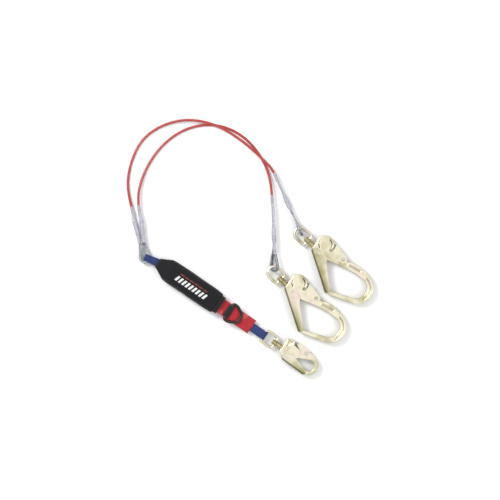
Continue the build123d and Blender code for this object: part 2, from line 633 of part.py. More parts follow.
def snap_hook(name, at):
    swivel(name, at, 8, FOLD_AT - SNAP_BARREL_AT)
    room = stud_room(at, 9)
    with BuildPart() as body:
        with BuildSketch(at.offset(-BODY_HALF)):
            with BuildLine():
                Line((60, -4), (46, -22))
                Line((46, -22), (24, -22))
                Line((24, -22), (9, -12))
                Line((9, -12), (9, 28))
                Line((9, 28), (20, 36))
                Line((20, 36), (30, 36))
                Line((30, 36), (34, 25))
                Line((34, 25), (64, 22))
                Line((64, 22), (82, 34))
                Spline((82, 34), (98, 30.5), (116, 21), (124, 2), (116, -18), (98, -25.5),
                       tangents=[(1, -0.1), (-1, -0.1)])
                Line((98, -25.5), (93, -20))
                bowl = CenterArc(SNAP_BOWL, SNAP_BOWL_RADIUS, *SNAP_BOWL_SWEEP)
                Line((93, -20), bowl @ 0)
                Line(bowl @ 1, (63, 1))
                Line((63, 1), (60, -4))
            make_face()
        extrude(amount=2 * BODY_HALF)
        add(room, mode=Mode.SUBTRACT)
        with BuildSketch(at.offset(-BODY_HALF - 1)):
            with Locations(SNAP_GATE_PIN, SNAP_LEVER_PIN):
                Circle(PIN_RADIUS)
        extrude(amount=2 * BODY_HALF + 2, mode=Mode.SUBTRACT)
        with BuildSketch(at.offset(-3.2)):
            with Locations(SNAP_GATE_PIN):
                Circle(6.6)
            with Locations((SNAP_GATE_PIN[0] + 4, SNAP_GATE_PIN[1] - 6)):
                Rectangle(20, 12)
        extrude(amount=6.4, mode=Mode.SUBTRACT)
        for low in (-BODY_HALF, BODY_HALF - SLOT_DEPTH):
            with BuildSketch(at.offset(low)):
                with BuildLine():
                    Polyline((15.5, 29), (29, 30), (19, 10), close=True)
                make_face()
                with Locations((27, 5)):
                    Circle(2.6)
            extrude(amount=SLOT_DEPTH, mode=Mode.SUBTRACT)
    save(body.part, name + "_hook_body")

    with BuildPart() as gate:
        for low in (-GATE_OUT, GATE_IN):
            with BuildSketch(at.offset(low)):
                with BuildLine():
                    FilletPolyline(
                        (24, -26), (98, -28.5), (104, -22), (97, -14.5), (62, -4), (48, 0), (28, -6),
                        radius=[5, 3, 4, 4, 10, 8, 8], close=True,
                    )
                make_face()
                with Locations(SNAP_GATE_PIN):
                    Circle(PIN_RADIUS + FIT, mode=Mode.SUBTRACT)
            extrude(amount=GATE_OUT - GATE_IN)
        with BuildSketch(at.offset(-GATE_OUT)):
            with BuildLine():
                Polyline((28, -26.2), (89, -28.2), (89, -26.2), (28, -24.2), close=True)
            make_face()
        extrude(amount=2 * GATE_OUT)
    save(gate.part, name + "_gate")

    with BuildPart() as lever:
        for low in (-LEVER_OUT, LEVER_IN):
            with BuildSketch(at.offset(low)):
                with BuildLine():
                    FilletPolyline(
                        (38, 38), (78, 36.5), (82, 25), (76, 16.5), (58, 20), (40, 30),
                        radius=[2, 6, 6, 5, 8, 3], close=True,
                    )
                make_face()
                with Locations(SNAP_LEVER_PIN):
                    Circle(PIN_RADIUS + FIT, mode=Mode.SUBTRACT)
            extrude(amount=LEVER_OUT - LEVER_IN)
        with BuildSketch(at.offset(-LEVER_OUT)):
            with BuildLine():
                Polyline((40, 37.9), (74, 36.6), (74, 34.6), (40, 35.9), close=True)
            make_face()
        extrude(amount=2 * LEVER_OUT)
    save(lever.part, name + "_lock_lever")

    rivet(at, *SNAP_GATE_PIN, name + "_gate_rivet", PIN_RADIUS, 5.0, GATE_OUT + 0.1, HEAD_OUT)
    rivet(at, *SNAP_LEVER_PIN, name + "_lever_rivet", PIN_RADIUS, 5.0, LEVER_OUT + 0.1, HEAD_OUT)
    coil(at, *SNAP_GATE_PIN, name + "_gate_spring", 4.6, 0.85, 3.0, 10)
    stack(at, 58, 23.4, 32.0, name + "_lever_spring", 3.2, 0.85)


rebar_hook("left", level(LEFT_BARREL[0], LEFT_BARREL[1], HOOK_Z, HOOK_HEADING))
rebar_hook("right", level(RIGHT_BARREL[0], RIGHT_BARREL[1], HOOK_Z, HOOK_HEADING))
snap_place = pack.origin + pack.x_dir * SNAP_BARREL_AT
snap_hook("snap", level(snap_place.X, snap_place.Y, HOOK_Z, PACK_HEADING))
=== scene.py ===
import json
import math

import bpy
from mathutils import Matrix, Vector, noise
from mathutils.bvhtree import BVHTree


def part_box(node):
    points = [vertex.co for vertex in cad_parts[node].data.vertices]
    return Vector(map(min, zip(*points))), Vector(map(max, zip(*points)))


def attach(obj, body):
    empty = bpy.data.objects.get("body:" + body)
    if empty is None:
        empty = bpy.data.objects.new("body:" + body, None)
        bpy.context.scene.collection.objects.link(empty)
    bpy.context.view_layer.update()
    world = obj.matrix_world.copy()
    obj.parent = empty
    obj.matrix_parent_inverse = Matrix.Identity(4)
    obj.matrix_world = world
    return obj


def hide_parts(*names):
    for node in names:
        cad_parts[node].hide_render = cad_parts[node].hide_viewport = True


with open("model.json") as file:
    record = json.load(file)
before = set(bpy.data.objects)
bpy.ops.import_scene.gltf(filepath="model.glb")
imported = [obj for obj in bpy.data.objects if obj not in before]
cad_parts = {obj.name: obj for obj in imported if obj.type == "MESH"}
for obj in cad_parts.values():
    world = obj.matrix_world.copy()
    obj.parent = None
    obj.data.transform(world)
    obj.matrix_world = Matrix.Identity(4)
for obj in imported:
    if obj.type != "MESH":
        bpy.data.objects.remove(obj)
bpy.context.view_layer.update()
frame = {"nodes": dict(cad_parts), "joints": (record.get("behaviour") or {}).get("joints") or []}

# Looks for the shock absorbing lanyard. Metres, in the CAD model's own frame.
nodes = frame["nodes"]
joints = {joint["name"]: joint for joint in frame["joints"]}
scene = bpy.context.scene

# ---------------------------------------------------------------- camera
VIEW_CENTRE = Vector((-0.0223, 0.1389, 0.0))
VIEW_WIDTH = 1.375
CAMERA_HEIGHT = 6.0
SENSOR = 36.0

camera_data = bpy.data.cameras.new("camera")
camera_data.sensor_width = SENSOR
camera_data.lens = SENSOR * CAMERA_HEIGHT / VIEW_WIDTH
camera = bpy.data.objects.new("camera", camera_data)
camera.location = VIEW_CENTRE + Vector((0, 0, CAMERA_HEIGHT))
scene.collection.objects.link(camera)
scene.camera = camera

# ---------------------------------------------------------------- cable routes, the CAD model's own points
CABLE_DIAMETER = 0.007
ROUTE_A = [
    (-0.3429, 0.2383, 0.0067), (-0.3539, 0.2783, 0.0067), (-0.3594, 0.3273, 0.0042),
    (-0.3499, 0.3803, 0.0037), (-0.3219, 0.4413, 0.0037), (-0.2709, 0.4793, 0.0040),
    (-0.2129, 0.4963, 0.0090), (-0.1589, 0.4943, 0.0136), (-0.1069, 0.4783, 0.0136),
    (-0.0569, 0.4483, 0.0095), (-0.0129, 0.4123, 0.0136), (0.0191, 0.3813, 0.0136),
    (0.0393, 0.3603, 0.0168), (0.0523, 0.3313, 0.0168),
]
ROUTE_B = [
    (-0.3259, 0.2418, 0.0142), (-0.3309, 0.2828, 0.0142), (-0.3229, 0.3243, 0.0075),
    (-0.3039, 0.3713, 0.0038), (-0.2709, 0.4193, 0.0037), (-0.2269, 0.4573, 0.0037),
    (-0.1769, 0.4793, 0.0037), (-0.1229, 0.4843, 0.0037), (-0.0739, 0.4713, 0.0037),
    (-0.0309, 0.4433, 0.0037), (0.0021, 0.4043, 0.0037), (0.0251, 0.3633, 0.0046),
    (0.03723, 0.3090, 0.0145), (0.0386, 0.2690, 0.0145),
]


def cable(name, route):
    """A smooth cable whose control points are the route's points."""
    curve = bpy.data.curves.new(name, "CURVE")
    curve.dimensions = "3D"
    curve.bevel_depth = 1.0            # the points' own radius gives the size
    curve.bevel_resolution = 5
    curve.resolution_u = 10
    line = curve.splines.new("NURBS")
    line.points.add(len(route) - 1)
    for point, place in zip(line.points, route):
        point.co = (*place, 1)
        point.radius = CABLE_DIAMETER / 2
    line.order_u = 3
    line.use_endpoint_u = True
    piece = bpy.data.objects.new(name, curve)
    scene.collection.objects.link(piece)
    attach(piece, "root")
    return piece


cable_a = cable("red_cable_a", ROUTE_A)
cable_b = cable("red_cable_b", ROUTE_B)
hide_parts("cable_leg_a")
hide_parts("cable_leg_b")


# ---------------------------------------------------------------- the absorber's own line
RING_BAR_AT = 0.234
COVER_END = 0.196
COLLAR_END = 0.208
STRAP_END = 0.311
NECK_LENGTH = 0.032
STRAP_WIDTH = 0.043
BLUE_WIDTH = 0.025
WEB_THICK = 0.0024

ring_at = Vector(joints["d_ring_hinge"]["pos_m"])
fold_at = Vector(joints["snap_bail_swing"]["pos_m"])
along = Vector((fold_at.x - ring_at.x, fold_at.y - ring_at.y, 0)).normalized()
across = Vector((-along.y, along.x, 0))
UP = Vector((0, 0, 1))
pack_start = Vector((ring_at.x, ring_at.y, 0)) - along * RING_BAR_AT
pack_turn = math.atan2(along.y, along.x)
cover_low, cover_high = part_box("pack_cover")
COVER_THICK = cover_high.z - cover_low.z


def on_pack(s, side, z):
    return pack_start + along * s + across * side + UP * z


LEG_TURN = math.radians(10.2)     # the leg webbing leaves the neck at this angle
leg_along = (along * math.cos(LEG_TURN) + across * math.sin(LEG_TURN)).normalized()
leg_across = Vector((-leg_along.y, leg_along.x, 0))


def on_leg_web(s, side, z):
    return pack_start + leg_along * s + leg_across * side + UP * z


# ---------------------------------------------------------------- mesh helpers
def new_mesh(name, points, faces, uvs=None, smooth=True):
    mesh = bpy.data.meshes.new(name)
    mesh.from_pydata([tuple(p) for p in points], [], faces)
    mesh.update()
    if uvs:
        layer = mesh.uv_layers.new(name="UVMap")
        for loop in mesh.loops:
            layer.data[loop.index].uv = uvs[loop.vertex_index]
    if smooth:
        mesh.polygons.foreach_set("use_smooth", [True] * len(mesh.polygons))
    piece = bpy.data.objects.new(name, mesh)
    scene.collection.objects.link(piece)
    return piece


def loft(name, rings, uvs=None, capped=True):
    """Closed rings joined in order, with the two ends filled if capped."""
    count = len(rings[0])
    points = [p for ring in rings for p in ring]
    faces = []
    for i in range(len(rings) - 1):
        here, after = i * count, (i + 1) * count
        for k in range(count):
            step = (k + 1) % count
            faces.append((here + k, here + step, after + step, after + k))
    if capped:
        faces.append(tuple(reversed(range(count))))
        faces.append(tuple(range((len(rings) - 1) * count, len(rings) * count)))
    return new_mesh(name, points, faces, uvs)


def apply_modifier(piece, modifier):
    bpy.context.view_layer.objects.active = piece
    bpy.ops.object.modifier_apply(modifier=modifier)


def bspline(points, steps=6):
    """Points along a smooth line that starts and ends at the given ends."""
    path = [tuple(points[0])]
    for i in range(1, len(points) - 1):
        a = points[0] if i == 1 else [(p + q) / 2 for p, q in zip(points[i - 1], points[i])]
        b = points[i]
        c = points[-1]
        if i < len(points) - 2:
            c = [(p + q) / 2 for p, q in zip(points[i], points[i + 1])]
        for k in range(1, steps + 1):
            t = k / steps
            path.append(tuple(
                p * (1 - t) ** 2 + 2 * q * t * (1 - t) + r * t * t for p, q, r in zip(a, b, c)
            ))
    return path


SECTION_STEPS = 10


def flat_section(width, thick):
    """Points round a webbing's cross-section, (sideways, upwards), with full round edges."""
    half = width / 2 - thick / 2
    top = [(-half + 2 * half * k / SECTION_STEPS, thick / 2) for k in range(SECTION_STEPS + 1)]
    bottom = [(x, y - thick) for x, y in reversed(top)]
    return [(-half - thick * 0.42, 0), *top, (half + thick * 0.42, 0), *bottom]


def webbing(name, place, path, width, thick, ripple=0.0, seed=0.0):
    """A woven strap along a path of (s, z) points; width may change with the share of its length."""
    rings, uvs, gone = [], [], 0.0
    total = len(path) - 1
    for i, (s, z) in enumerate(path):
        before, after = path[max(i - 1, 0)], path[min(i + 1, total)]
        tangent = Vector((after[0] - before[0], after[1] - before[1])).normalized()
        normal = Vector((-tangent.y, tangent.x))
        if i:
            gone += math.hypot(s - path[i - 1][0], z - path[i - 1][1])
        wide = width(i / total) if callable(width) else width
        ring = []
        for x, y in flat_section(wide, thick):
            wave = ripple * noise.noise(Vector((gone * 60, x * 90, seed)))
            ring.append(place(s + normal.x * (y + wave), x, z + normal.y * (y + wave)))
            uvs.append((gone, x))
        rings.append(ring)
    return loft(name, rings, uvs)


def tube_ring(centre, direction, sideways, wide, high, count=20):
    """An oval ring square to a direction."""
    lift = direction.cross(sideways).normalized()
    return [
        centre + sideways * wide * math.cos(2 * math.pi * k / count)
        + lift * high * math.sin(2 * math.pi * k / count) for k in range(count)
    ]


def joined(name, pieces):
    bpy.ops.object.select_all(action="DESELECT")
    for piece in pieces:
        piece.select_set(True)
    bpy.context.view_layer.objects.active = pieces[0]
    bpy.ops.object.join()
    pieces[0].name = name
    pieces[0].data.name = name
    return pieces[0]


# a stitch's profile: share of its length, share of its radius, height over the cloth in radii
STITCH_PROFILE = ((0, 0.45, -0.6), (0.18, 0.9, 0.1), (0.5, 1, 0.35), (0.82, 0.9, 0.1), (1, 0.45, -0.6))


def stitch(name, start, end, up, radius, length):
    """One thread stitch lying on cloth: a short bar with sunk ends."""
    run = (end - start).normalized()
    sideways = run.cross(up).normalized()
    rings = []
    for share, size, lift in STITCH_PROFILE:
        centre = start + run * length * share + up * radius * lift
        rings.append(tube_ring(centre, run, sideways, radius * size, radius * size, 6))
    return loft(name, rings)


def stitch_row(name, points, up, radius=0.00035, pitch=0.0042):
    """Stitches along a chain of surface points."""
    pieces = []
    for a, b in zip(points, points[1:]):
        reach = (b - a).length
        count = max(1, round(reach / pitch))
        for k in range(count):
            begin = a + (b - a) * (k + 0.12) / count
            finish = a + (b - a) * (k + 0.88) / count
            pieces.append(stitch(name, begin, finish, up, radius, (finish - begin).length))
    return pieces


# ---------------------------------------------------------------- materials
def shader(name):
    material = bpy.data.materials.new(name)
    material.use_nodes = True
    tree = material.node_tree
    return material, tree, tree.nodes["Principled BSDF"]


def ramp(tree, stops):
    node = tree.nodes.new("ShaderNodeValToRGB")
    elements = node.color_ramp.elements
    for i, (place, colour) in enumerate(stops):
        element = elements[i] if i < 2 else elements.new(place)
        element.position = place
        element.color = (*colour, 1)
    return node


def noise_node(tree, vector, scale, detail=3.0, rough=0.55):
    node = tree.nodes.new("ShaderNodeTexNoise")
    node.inputs["Scale"].default_value = scale
    node.inputs["Detail"].default_value = detail
    node.inputs["Roughness"].default_value = rough
    tree.links.new(vector, node.inputs["Vector"])
    return node.outputs["Fac"]


def maths(tree, operation, first, second):
    node = tree.nodes.new("ShaderNodeMath")
    node.operation = operation
    for socket, value in zip(node.inputs, (first, second)):
        if isinstance(value, (int, float)):
            socket.default_value = value
        else:
            tree.links.new(value, socket)
    return node.outputs[0]


def mixed(tree, factor, first, second):
    node = tree.nodes.new("ShaderNodeMix")
    node.data_type = "RGBA"
    for socket, value in ((node.inputs[0], factor), (node.inputs[6], first), (node.inputs[7], second)):
        if isinstance(value, tuple):
            socket.default_value = (*value, 1)
        elif isinstance(value, (int, float)):
            socket.default_value = value
        else:
            tree.links.new(value, socket)
    return node.outputs[2]


def bump(tree, shader_node, height, strength, distance):
    node = tree.nodes.new("ShaderNodeBump")
    node.inputs["Strength"].default_value = strength
    node.inputs["Distance"].default_value = distance
    tree.links.new(height, node.inputs["Height"])
    tree.links.new(node.outputs["Normal"], shader_node.inputs["Normal"])


def ranged(tree, value, low, high):
    node = tree.nodes.new("ShaderNodeMapRange")
    node.inputs["To Min"].default_value = low
    node.inputs["To Max"].default_value = high
    tree.links.new(value, node.inputs["Value"])
    return node.outputs[0]


def wave_pair(tree, vector, scale, turn=0.0):
    """Two crossing sets of ridges, as warp and weft."""
    outs = []
    for angle in (turn + math.pi / 4, turn - math.pi / 4):
        mapping = tree.nodes.new("ShaderNodeMapping")
        mapping.inputs["Rotation"].default_value = (0, 0, angle)
        tree.links.new(vector, mapping.inputs["Vector"])
        wave = tree.nodes.new("ShaderNodeTexWave")
        wave.inputs["Scale"].default_value = scale
        wave.inputs["Distortion"].default_value = 0.6
        wave.inputs["Detail Scale"].default_value = 2.0
        tree.links.new(mapping.outputs[0], wave.inputs["Vector"])
        outs.append(wave.outputs["Fac"])
    return maths(tree, "MULTIPLY", outs[0], outs[1])


def woven(name, dark, mid, light, scale, use_uv=True, sheen=0.3, rough=(0.6, 0.85), height=0.0003,
          turn=0.0, painted_highlight=None):
    """Cloth with a crossed weave, thread variation, soft fading and a little fuzz, and, where a highlight
    colour is given, lighter patches of painted highlight.
    """
    material, tree, surface = shader(name)
    coords = tree.nodes.new("ShaderNodeTexCoord")
    flat = coords.outputs["UV" if use_uv else "Object"]
    solid = coords.outputs["Object"]
    weave = wave_pair(tree, flat, scale, turn)
    fade = noise_node(tree, solid, 45, 4)
    fuzz = noise_node(tree, solid, 2500, 2)
    tint = maths(tree, "ADD", maths(tree, "MULTIPLY", weave, 0.55), maths(tree, "MULTIPLY", fade, 0.45))
    tint = maths(tree, "ADD", tint, maths(tree, "MULTIPLY", fuzz, 0.12))
    colours = ramp(tree, ((0.15, dark), (0.42, mid), (0.85, light)))
    tree.links.new(tint, colours.inputs[0])
    colour = colours.outputs[0]
    if painted_highlight:
        # painted highlight: lighter patches scattered by noise over the cloth
        highlight_patches = fade_between(tree, noise_node(tree, solid, 38, 2, 0.4), 0.50, 0.72)
        colour = mixed(tree, maths(tree, "MULTIPLY", highlight_patches, 0.7), colour, painted_highlight)
    tree.links.new(colour, surface.inputs["Base Color"])
    tree.links.new(ranged(tree, fade, *rough), surface.inputs["Roughness"])
    surface.inputs["Sheen Weight"].default_value = sheen
    surface.inputs["Sheen Roughness"].default_value = 0.5
    surface.inputs["Specular IOR Level"].default_value = 0.25
    bump(tree, surface, maths(tree, "ADD", weave, maths(tree, "MULTIPLY", fuzz, 0.35)), 0.7, height)
    return material


def local_axes(tree, place, heading):
    """Shader coordinates measured from a hook's barrel, x along the hook."""
    solid = tree.nodes.new("ShaderNodeTexCoord").outputs["Object"]
    mapping = tree.nodes.new("ShaderNodeMapping")
    mapping.vector_type = "TEXTURE"
    mapping.inputs["Location"].default_value = place
    mapping.inputs["Rotation"].default_value = (0, 0, heading)
    tree.links.new(solid, mapping.inputs["Vector"])
    split = tree.nodes.new("ShaderNodeSeparateXYZ")
    tree.links.new(mapping.outputs[0], split.inputs[0])
    return split.outputs[0], split.outputs[1], split.outputs[2]


def fade_between(tree, value, start, stop):
    """0 below start, 1 above stop, smooth between."""
    node = tree.nodes.new("ShaderNodeMapRange")
    node.interpolation_type = "SMOOTHSTEP"
    node.inputs["From Min"].default_value = start
    node.inputs["From Max"].default_value = stop
    tree.links.new(value, node.inputs["Value"])
    return node.outputs[0]


def fade_out(tree, value, start, stop):
    """1 below start, 0 above stop, smooth between."""
    return maths(tree, "SUBTRACT", 1, fade_between(tree, value, start, stop))


def times(tree, first, second):
    return maths(tree, "MULTIPLY", first, second)


def plus(tree, first, second):
    return maths(tree, "ADD", first, second)


def minus(tree, first, second):
    return maths(tree, "SUBTRACT", first, second)


def absolute(tree, value):
    return maths(tree, "ABSOLUTE", value, 0)


def plated(name, pale, deep, blush, metallic=0.9, rough=(0.22, 0.45), cloud=22, spots=0.5, shade=None):
    """Zinc-plated steel: cloudy passivation tints, fine grain, small dull marks and scratches.

    shade is a function of the node tree that gives (mask, colour) pairs laid over the plating.
    """
    material, tree, surface = shader(name)
    solid = tree.nodes.new("ShaderNodeTexCoord").outputs["Object"]
    clouds = noise_node(tree, solid, cloud, 3, 0.5)
    blot = noise_node(tree, solid, cloud * 2.7, 4, 0.6)
    grain = noise_node(tree, solid, 900, 2)
    scratch_map = tree.nodes.new("ShaderNodeMapping")
    scratch_map.inputs["Rotation"].default_value = (0, 0, 0.7)
    scratch_map.inputs["Scale"].default_value = (1, 14, 1)
    tree.links.new(solid, scratch_map.inputs["Vector"])
    scratches = noise_node(tree, scratch_map.outputs[0], 160, 3, 0.7)
    tints = ramp(tree, ((0.3, deep), (0.5, pale), (0.72, blush)))
    tree.links.new(clouds, tints.inputs[0])
    marks = ramp(tree, ((0.52, (0, 0, 0)), (0.78, (spots, spots, spots))))
    tree.links.new(blot, marks.inputs[0])
    colour = mixed(tree, marks.outputs[0], tints.outputs[0], deep)
    for mask, tint in (shade(tree) if shade else ()):
        colour = mixed(tree, mask, colour, tint)
    tree.links.new(colour, surface.inputs["Base Color"])
    surface.inputs["Metallic"].default_value = metallic
    mottled = plus(tree, times(tree, clouds, 0.6), times(tree, scratches, 0.4))
    tree.links.new(ranged(tree, mottled, *rough), surface.inputs["Roughness"])
    bump(tree, surface, maths(tree, "ADD", grain, scratches), 0.25, 0.00012)
    return material


def coated(name, dark, light, rough=0.32):
    """Smooth extruded plastic over the cable, faintly lined by the strands underneath."""
    material, tree, surface = shader(name)
    solid = tree.nodes.new("ShaderNodeTexCoord").outputs["Object"]
    dust = noise_node(tree, solid, 60, 4)
    fine = noise_node(tree, solid, 700, 3)
    colours = ramp(tree, ((0.3, dark), (0.7, light)))
    tree.links.new(maths(tree, "ADD", maths(tree, "MULTIPLY", dust, 0.8), maths(tree, "MULTIPLY", fine, 0.2)),
                   colours.inputs[0])
    tree.links.new(colours.outputs[0], surface.inputs["Base Color"])
    tree.links.new(ranged(tree, dust, rough - 0.06, rough + 0.12), surface.inputs["Roughness"])
    surface.inputs["Coat Weight"].default_value = 0.25
    surface.inputs["Coat Roughness"].default_value = 0.2
    bump(tree, surface, fine, 0.2, 0.0002)
    return material


def clear_plastic(name):
    """Shrink tube gone slightly milky, with creases over the rope and ferrule."""
    material, tree, surface = shader(name)
    solid = tree.nodes.new("ShaderNodeTexCoord").outputs["Object"]
    haze = noise_node(tree, solid, 120, 3)
    crease = noise_node(tree, solid, 420, 3)
    colours = ramp(tree, ((0.3, (0.50, 0.50, 0.58)), (0.7, (0.74, 0.74, 0.82))))
    tree.links.new(haze, colours.inputs[0])
    tree.links.new(colours.outputs[0], surface.inputs["Base Color"])
    tree.links.new(ranged(tree, haze, 0.12, 0.32), surface.inputs["Roughness"])
    surface.inputs["Alpha"].default_value = 0.44
    bump(tree, surface, crease, 0.35, 0.0004)
    return material


BODY_FACE = 0.0085       # half thickness of a forged body
GATE_FACE = 0.0132       # outer face of a gate's cheek
LEVER_FACE = 0.0108      # outer face of a lever's cheek
PALE = (0.76, 0.72, 0.55)
DEEP = (0.46, 0.41, 0.24)
BLUSH = (0.78, 0.66, 0.60)
# OLIVE and SHADOW are painted shade colours for the hooks' edges, hollows, grooves and gate stripe
OLIVE = (0.20, 0.18, 0.07)
SHADOW = (0.09, 0.07, 0.035)
HOOK_TURN = math.radians(-45.0)
HOOKS = {
    "left": (Vector((0.0716, 0.0486, 0)), HOOK_TURN),
    "right": (Vector((0.1454, 0.1551, 0)), HOOK_TURN),
    "snap": (on_pack(0.401, 0, 0), pack_turn),
}


def near_arc(tree, x, y, centre, radius, start, sweep, half):
    """1 on an arc-shaped groove round a centre; start and sweep in degrees."""
    dx, dy = minus(tree, x, centre[0]), minus(tree, y, centre[1])
    reach = maths(tree, "SQRT", plus(tree, times(tree, dx, dx), times(tree, dy, dy)), 0)
    line = fade_out(tree, absolute(tree, minus(tree, reach, radius)), half * 0.55, half)
    middle, wide = math.radians(start + sweep / 2), math.radians(sweep / 2)
    facing = plus(tree, times(tree, dx, math.cos(middle)), times(tree, dy, math.sin(middle)))
    cosine = maths(tree, "DIVIDE", facing, reach)
    return times(tree, line, fade_between(tree, cosine, math.cos(wide + 0.05), math.cos(wide)))


def near_line(tree, x, y, start, stop, half):
    """1 on a straight groove from start to stop."""
    begin, way = Vector(start), (Vector(stop) - Vector(start)).normalized()
    reach = (Vector(stop) - begin).length
    dx, dy = minus(tree, x, begin.x), minus(tree, y, begin.y)
    gone = plus(tree, times(tree, dx, way.x), times(tree, dy, way.y))
    off = minus(tree, times(tree, dy, way.x), times(tree, dx, way.y))
    line = fade_out(tree, absolute(tree, off), half * 0.55, half)
    from_middle = absolute(tree, minus(tree, gone, reach / 2))
    return times(tree, line, fade_out(tree, from_middle, reach / 2 - 0.001, reach / 2))


# painted shade in each body's grooves and hollows, in its own axes: shape, its place and half width,
# strength, colour
REBAR_GROOVE_SHADE = (
    (near_arc, ((0.028, 0.027), 0.018, 22, 72, 0.0015), 0.95, SHADOW),
    (near_arc, ((0.028, 0.027), 0.018, 196, 62, 0.0015), 0.65, SHADOW),
    (near_arc, ((0.1715, 0.0025), 0.03825, -20, 110, 0.0028), 0.55, (0.28, 0.20, 0.09)),
    (near_line, ((0.112, 0.031), (0.150, 0.043), 0.003), 0.45, (0.28, 0.22, 0.10)),
)
SNAP_GROOVE_SHADE = (
    (near_line, ((0.019, 0.010), (0.0155, 0.029), 0.0012), 0.9, SHADOW),
    (near_arc, ((0.027, 0.005), 0.0005, 0, 360, 0.0030), 0.95, SHADOW),
    (near_arc, ((0.098, 0.001), 0.0265, -60, 110, 0.0045), 0.55, (0.30, 0.33, 0.13)),
)
# the straight edge of each gate's cheek, from the hinge to the tip
REBAR_GATE_EDGE = ((0.012, -0.0116), (0.110, -0.0619))
SNAP_GATE_EDGE = ((0.024, -0.026), (0.098, -0.0285))


def hook_zinc(prefix):
    """The platings of one hook, each with its painted shade: body, gate, lever and bail."""
    barrel, turn = HOOKS[prefix]
    place = (barrel.x, barrel.y, fold_at.z)
    rebar = prefix != "snap"
    line_from, line_to = (Vector(end) for end in (REBAR_GATE_EDGE if rebar else SNAP_GATE_EDGE))
    run = (line_to - line_from).normalized()

    def body_shade(tree):
        x, y, z = local_axes(tree, place, turn)
        height = absolute(tree, z)
        # painted shade: the rounded edges and every part below the top face darken, and the deepest parts
        # darken to olive
        rim = fade_out(tree, height, BODY_FACE - 0.0045, BODY_FACE - 0.0004)
        low = fade_out(tree, height, BODY_FACE - 0.0045, BODY_FACE - 0.0022)
        washes = [(times(tree, rim, 0.8), (0.40, 0.34, 0.17)), (times(tree, low, 0.85), OLIVE)]
        # painted shade darkens each groove and hollow
        for shape, where, strength, colour in REBAR_GROOVE_SHADE if rebar else SNAP_GROOVE_SHADE:
            washes.append((times(tree, shape(tree, x, y, *where), strength), colour))
        return washes

    def gate_shade(tree):
        x, y, z = local_axes(tree, place, turn)
        inward = plus(tree, times(tree, minus(tree, x, line_from.x), -run.y),
                      times(tree, minus(tree, y, line_from.y), run.x))
        # painted shade: a dark stripe along the cheek's straight edge, a shaded wash fading inward that
        # deepens toward the tip, and darker edges next to the faces
        stripe = fade_out(tree, inward, 0.0030, 0.0058)
        cast = fade_out(tree, inward, 0.003, 0.024)
        tip = fade_between(tree, x, line_from.x + 0.25 * (line_to.x - line_from.x), line_to.x)
        edge = fade_out(tree, absolute(tree, z), GATE_FACE - 0.0007, GATE_FACE - 0.0001)
        shade_wash = times(tree, plus(tree, times(tree, tip, 0.8), 0.2), cast)
        return (
            (shade_wash, (0.27, 0.26, 0.10)), (times(tree, stripe, 0.85), SHADOW), (times(tree, edge, 0.8), OLIVE),
        )

    def lever_shade(tree):
        _, _, z = local_axes(tree, place, turn)
        # painted shade: darker edges next to the lever's faces
        edge = fade_out(tree, absolute(tree, z), LEVER_FACE - 0.0007, LEVER_FACE - 0.0001)
        return ((times(tree, edge, 0.8), OLIVE),)

    def bail_shade(tree):
        x, y, _ = local_axes(tree, place, turn)
        # painted shade where the bail runs into the barrel
        near = fade_between(tree, x, -0.0185, -0.0178)
        inner = fade_out(tree, absolute(tree, y), 0.0076, 0.0084)
        return ((times(tree, times(tree, near, inner), 0.85), (0.40, 0.34, 0.15)),)

    return {
        "_hook_body": plated(f"{prefix}_body_zinc", PALE, DEEP, BLUSH, shade=body_shade),
        "_gate": plated(f"{prefix}_gate_zinc", PALE, DEEP, BLUSH, cloud=17, shade=gate_shade),
        "_lock_lever": plated(f"{prefix}_lever_zinc", PALE, DEEP, BLUSH, cloud=17, shade=lever_shade),
        "_swivel_bail": plated(f"{prefix}_bail_zinc", PALE, DEEP, BLUSH, cloud=40, shade=bail_shade),
    }


OLIVE_ZINC = plated("olive_zinc", (0.46, 0.40, 0.20), (0.26, 0.22, 0.10), (0.58, 0.48, 0.30),
                    rough=(0.28, 0.5))
RIVET_ZINC = plated("rivet_zinc", (0.66, 0.64, 0.56), (0.44, 0.42, 0.34), (0.70, 0.64, 0.60), cloud=60)
GALVANISED = plated("galvanised", (0.34, 0.37, 0.40), (0.19, 0.21, 0.23), (0.46, 0.49, 0.52), cloud=90)
STRAND_LAY = math.radians(50)     # the strands cross the rope's run at about this angle


def strands(tree):
    """Painted shade in the hollows between the strands of the bare rope."""
    solid = tree.nodes.new("ShaderNodeTexCoord").outputs["Object"]
    mapping = tree.nodes.new("ShaderNodeMapping")
    mapping.inputs["Rotation"].default_value = (0, 0, STRAND_LAY)
    tree.links.new(solid, mapping.inputs["Vector"])
    wave = tree.nodes.new("ShaderNodeTexWave")
    wave.inputs["Scale"].default_value = 190
    tree.links.new(mapping.outputs[0], wave.inputs["Vector"])
    hollow = fade_out(tree, wave.outputs["Fac"], 0.05, 0.5)
    return ((times(tree, hollow, 0.85), (0.06, 0.06, 0.07)),)


# the rope's plating carries painted shade between its strands
ROPE_STEEL = plated("rope_steel", (0.46, 0.47, 0.50), (0.26, 0.27, 0.30), (0.60, 0.60, 0.64), cloud=200,
                    shade=strands)
FERRULE = plated("ferrule_alloy", (0.55, 0.55, 0.59), (0.36, 0.36, 0.40), (0.62, 0.62, 0.66), cloud=120)
SPRING_STEEL = plated("spring_steel", (0.45, 0.45, 0.46), (0.25, 0.25, 0.26), (0.5, 0.5, 0.52), cloud=150)
BLACK_STEEL = plated("black_steel", (0.030, 0.022, 0.020), (0.012, 0.010, 0.009), (0.05, 0.035, 0.03),
                     metallic=0.35, rough=(0.3, 0.5), cloud=60)
RED_COATING = coated("red_coating", (0.34, 0.022, 0.022), (0.46, 0.045, 0.042))
CLEAR = clear_plastic("clear_sleeve")
